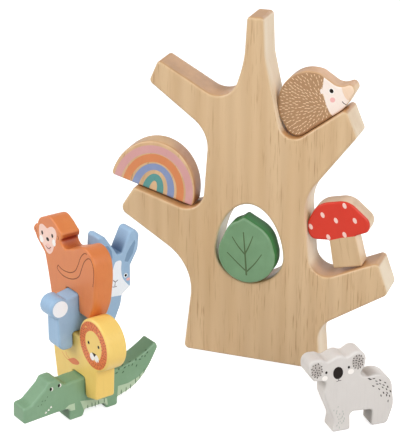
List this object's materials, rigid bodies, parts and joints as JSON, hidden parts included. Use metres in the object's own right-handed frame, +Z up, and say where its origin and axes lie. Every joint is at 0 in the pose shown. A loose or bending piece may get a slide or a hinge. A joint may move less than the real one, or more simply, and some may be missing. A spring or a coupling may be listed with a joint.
{
  "type": "balancing tree game",
  "caption": "Upright wooden tree board with forked branches and a leaf-filled hollow; shaped animals and other flat pieces rest on its branches or stack over one another.",
  "frame": {"origin": "middle of the tree's foot, on the floor", "axes": "+Z up; the tree's broad front face looks along -Y; +X to the right of someone who looks at the front"},
  "size_m": [0.2754, 0.1987, 0.28],
  "materials": {
    "bare_wood": "clear-coated pine",
    "brown_print": "printed, matt",
    "leaf_green": "painted, satin",
    "cap_red": "painted, satin",
    "monkey_orange": "painted, satin",
    "rabbit_blue": "painted, satin",
    "lion_yellow": "painted, satin",
    "crocodile_green": "painted, satin",
    "koala_grey": "painted, satin",
    "rainbow_wood": "clear-coated wood with printed bands"
  },
  "bodies": {
    "tree": {"tree": "bare_wood"},
    "leaf": {"leaf": "leaf_green"},
    "hedgehog": {"hedgehog": "brown_print"},
    "rainbow": {"rainbow": "rainbow_wood"},
    "mushroom": {"mushroom": "cap_red"},
    "crocodile": {"crocodile": "crocodile_green"},
    "lion": {"lion": "lion_yellow"},
    "rabbit": {"rabbit": "rabbit_blue"},
    "monkey": {"monkey": "monkey_orange"},
    "koala": {"koala": "koala_grey"}
  },
  "joints": [
    {"name": "leaf_slide", "type": "slide", "parent": "tree", "child": "leaf", "axis": [0, -1, 0], "range_m": [0, 0.03]},
    {"name": "hedgehog_lift", "type": "slide", "parent": "tree", "child": "hedgehog", "axis": [0.3431, 0, 0.9393], "range_m": [0, 0.06]},
    {"name": "rainbow_lift", "type": "slide", "parent": "tree", "child": "rainbow", "axis": [-0.5662, 0, 0.8243], "range_m": [0, 0.06]},
    {"name": "mushroom_lift", "type": "slide", "parent": "tree", "child": "mushroom", "axis": [0.495, 0, 0.8689], "range_m": [0, 0.055]},
    {"name": "crocodile_lift", "type": "slide", "parent": "tree", "child": "crocodile", "axis": [0, 0, 1], "range_m": [0, 0.06]},
    {"name": "lion_lift", "type": "slide", "parent": "crocodile", "child": "lion", "axis": [0, 0, 1], "range_m": [0, 0.06]},
    {"name": "rabbit_lift", "type": "slide", "parent": "lion", "child": "rabbit", "axis": [0, 0, 1], "range_m": [0, 0.06]},
    {"name": "monkey_lift", "type": "slide", "parent": "rabbit", "child": "monkey", "axis": [0, 0, 1], "range_m": [0, 0.06]},
    {"name": "koala_lift", "type": "slide", "parent": "tree", "child": "koala", "axis": [0, 0, 1], "range_m": [0, 0.06]}
  ]
}
